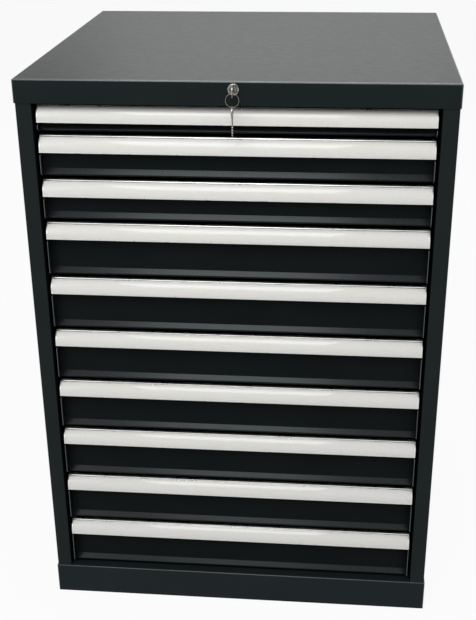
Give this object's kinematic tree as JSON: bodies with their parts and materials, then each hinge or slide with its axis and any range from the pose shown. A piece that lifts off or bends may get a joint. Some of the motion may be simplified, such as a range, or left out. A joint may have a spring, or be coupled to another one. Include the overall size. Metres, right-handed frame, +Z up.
{
  "type": "drawer tool cabinet",
  "caption": "Tool cabinet with a stack of full-width drawers on telescopic runners, grip strips with label channels, and a central lock whose bar holds every drawer shut.",
  "frame": {"origin": "on the floor, under the middle of the whole object's box, the key in front included", "axes": "+Z up, +X to the right as seen from the front, the fronts face -Y"},
  "size_m": [0.717, 0.7555, 1.003],
  "materials": {
    "painted_carcass": "fine-structured satin anthracite powder coat",
    "painted_drawer": "satin anthracite powder coat",
    "zinc_sheet": "galvanised sheet",
    "runner_steel": "bright zinc plated, rolled",
    "buffer_rubber": "matt black",
    "guide_plastic": "matt black, moulded",
    "lock_chrome": "chrome plated",
    "lock_steel": "zinc plated",
    "key_nickel": "nickel plated, worn bright",
    "grip_aluminium": "natural satin anodised extrusion",
    "label_clear": "clear cover over a pale insert"
  },
  "bodies": {
    "carcass": {"top_cover": "painted_carcass", "left_side_panel": "painted_carcass", "right_side_panel": "painted_carcass", "back_panel": "painted_carcass", "floor_pan": "painted_carcass", "plinth": "painted_carcass", "top_rails": "zinc_sheet", "slotted_uprights": "zinc_sheet", "cabinet_runners": "runner_steel", "closing_buffers": "buffer_rubber", "lock_bar_guides": "guide_plastic", "lock_housing": "lock_chrome", "lock_nut": "lock_chrome"},
    "lock_plug": {"lock_plug": "lock_chrome", "lock_cam": "lock_steel", "cam_screw": "lock_steel"},
    "lock_bar": {"lock_bar": "lock_steel"},
    "key": {"key": "key_nickel"},
    "key_ring": {"key_ring": "key_nickel"},
    "spare_key": {"spare_key": "key_nickel"},
    "drawer_01": {"drawer_01_tray": "painted_drawer", "drawer_01_grip": "grip_aluminium", "drawer_01_label": "label_clear"},
    "runner_middle_01": {"drawer_01_middle_runners": "runner_steel"},
    "drawer_02": {"drawer_02_tray": "painted_drawer", "drawer_02_grip": "grip_aluminium", "drawer_02_label": "label_clear"},
    "runner_middle_02": {"drawer_02_middle_runners": "runner_steel"},
    "drawer_03": {"drawer_03_tray": "painted_drawer", "drawer_03_grip": "grip_aluminium", "drawer_03_label": "label_clear"},
    "runner_middle_03": {"drawer_03_middle_runners": "runner_steel"},
    "drawer_04": {"drawer_04_tray": "painted_drawer", "drawer_04_grip": "grip_aluminium", "drawer_04_label": "label_clear"},
    "runner_middle_04": {"drawer_04_middle_runners": "runner_steel"},
    "drawer_05": {"drawer_05_tray": "painted_drawer", "drawer_05_grip": "grip_aluminium", "drawer_05_label": "label_clear"},
    "runner_middle_05": {"drawer_05_middle_runners": "runner_steel"},
    "drawer_06": {"drawer_06_tray": "painted_drawer", "drawer_06_grip": "grip_aluminium", "drawer_06_label": "label_clear"},
    "runner_middle_06": {"drawer_06_middle_runners": "runner_steel"},
    "drawer_07": {"drawer_07_tray": "painted_drawer", "drawer_07_grip": "grip_aluminium", "drawer_07_label": "label_clear"},
    "runner_middle_07": {"drawer_07_middle_runners": "runner_steel"},
    "drawer_08": {"drawer_08_tray": "painted_drawer", "drawer_08_grip": "grip_aluminium", "drawer_08_label": "label_clear"},
    "runner_middle_08": {"drawer_08_middle_runners": "runner_steel"},
    "drawer_09": {"drawer_09_tray": "painted_drawer", "drawer_09_grip": "grip_aluminium", "drawer_09_label": "label_clear"},
    "runner_middle_09": {"drawer_09_middle_runners": "runner_steel"},
    "drawer_10": {"drawer_10_tray": "painted_drawer", "drawer_10_grip": "grip_aluminium", "drawer_10_label": "label_clear"},
    "runner_middle_10": {"drawer_10_middle_runners": "runner_steel"}
  },
  "joints": [
    {"name": "drawer_01_slide", "type": "slide", "parent": "carcass", "child": "drawer_01", "axis": [0, -1, 0], "range_m": [0, 0.6]},
    {"name": "runner_01_slide", "type": "slide", "parent": "carcass", "child": "runner_middle_01", "axis": [0, -1, 0], "range_m": [0, 0.3]},
    {"name": "drawer_02_slide", "type": "slide", "parent": "carcass", "child": "drawer_02", "axis": [0, -1, 0], "range_m": [0, 0.6]},
    {"name": "runner_02_slide", "type": "slide", "parent": "carcass", "child": "runner_middle_02", "axis": [0, -1, 0], "range_m": [0, 0.3]},
    {"name": "drawer_03_slide", "type": "slide", "parent": "carcass", "child": "drawer_03", "axis": [0, -1, 0], "range_m": [0, 0.6]},
    {"name": "runner_03_slide", "type": "slide", "parent": "carcass", "child": "runner_middle_03", "axis": [0, -1, 0], "range_m": [0, 0.3]},
    {"name": "drawer_04_slide", "type": "slide", "parent": "carcass", "child": "drawer_04", "axis": [0, -1, 0], "range_m": [0, 0.6]},
    {"name": "runner_04_slide", "type": "slide", "parent": "carcass", "child": "runner_middle_04", "axis": [0, -1, 0], "range_m": [0, 0.3]},
    {"name": "drawer_05_slide", "type": "slide", "parent": "carcass", "child": "drawer_05", "axis": [0, -1, 0], "range_m": [0, 0.6]},
    {"name": "runner_05_slide", "type": "slide", "parent": "carcass", "child": "runner_middle_05", "axis": [0, -1, 0], "range_m": [0, 0.3]},
    {"name": "drawer_06_slide", "type": "slide", "parent": "carcass", "child": "drawer_06", "axis": [0, -1, 0], "range_m": [0, 0.6]},
    {"name": "runner_06_slide", "type": "slide", "parent": "carcass", "child": "runner_middle_06", "axis": [0, -1, 0], "range_m": [0, 0.3]},
    {"name": "drawer_07_slide", "type": "slide", "parent": "carcass", "child": "drawer_07", "axis": [0, -1, 0], "range_m": [0, 0.6]},
    {"name": "runner_07_slide", "type": "slide", "parent": "carcass", "child": "runner_middle_07", "axis": [0, -1, 0], "range_m": [0, 0.3]},
    {"name": "drawer_08_slide", "type": "slide", "parent": "carcass", "child": "drawer_08", "axis": [0, -1, 0], "range_m": [0, 0.6]},
    {"name": "runner_08_slide", "type": "slide", "parent": "carcass", "child": "runner_middle_08", "axis": [0, -1, 0], "range_m": [0, 0.3]},
    {"name": "drawer_09_slide", "type": "slide", "parent": "carcass", "child": "drawer_09", "axis": [0, -1, 0], "range_m": [0, 0.6]},
    {"name": "runner_09_slide", "type": "slide", "parent": "carcass", "child": "runner_middle_09", "axis": [0, -1, 0], "range_m": [0, 0.3]},
    {"name": "drawer_10_slide", "type": "slide", "parent": "carcass", "child": "drawer_10", "axis": [0, -1, 0], "range_m": [0, 0.6]},
    {"name": "runner_10_slide", "type": "slide", "parent": "carcass", "child": "runner_middle_10", "axis": [0, -1, 0], "range_m": [0, 0.3]},
    {"name": "lock_turn", "type": "hinge", "parent": "carcass", "child": "lock_plug", "pos_m": [0, -0.34725, 0.991], "axis": [0, 1, 0], "range_deg": [0, 90]},
    {"name": "lock_bar_slide", "type": "slide", "parent": "carcass", "child": "lock_bar", "axis": [-1, 0, 0], "range_m": [0, 0.012]},
    {"name": "key_withdraw", "type": "slide", "parent": "lock_plug", "child": "key", "axis": [0, -1, 0], "range_m": [0, 0.6]},
    {"name": "key_ring_swing", "type": "hinge", "parent": "key", "child": "key_ring", "pos_m": [0, -0.36725, 0.9882], "axis": [-1, 0, 0], "range_deg": [0, 75]},
    {"name": "spare_key_turn", "type": "hinge", "parent": "key_ring", "child": "spare_key", "pos_m": [0, -0.36725, 0.9775], "axis": [0, 1, 0], "range_deg": [-90, 0]}
  ],
  "couplings": [
    {"joint": "runner_01_slide", "follows": "drawer_01_slide", "ratio": 0.5},
    {"joint": "runner_02_slide", "follows": "drawer_02_slide", "ratio": 0.5},
    {"joint": "runner_03_slide", "follows": "drawer_03_slide", "ratio": 0.5},
    {"joint": "runner_04_slide", "follows": "drawer_04_slide", "ratio": 0.5},
    {"joint": "runner_05_slide", "follows": "drawer_05_slide", "ratio": 0.5},
    {"joint": "runner_06_slide", "follows": "drawer_06_slide", "ratio": 0.5},
    {"joint": "runner_07_slide", "follows": "drawer_07_slide", "ratio": 0.5},
    {"joint": "runner_08_slide", "follows": "drawer_08_slide", "ratio": 0.5},
    {"joint": "runner_09_slide", "follows": "drawer_09_slide", "ratio": 0.5},
    {"joint": "runner_10_slide", "follows": "drawer_10_slide", "ratio": 0.5},
    {"joint": "lock_turn", "follows": "lock_bar_slide", "rad_per_m": 130.89},
    {"joint": "key_withdraw", "follows": "drawer_01_slide", "ratio": 1},
    {"joint": "spare_key_turn", "follows": "lock_bar_slide", "rad_per_m": -130.89}
  ]
}
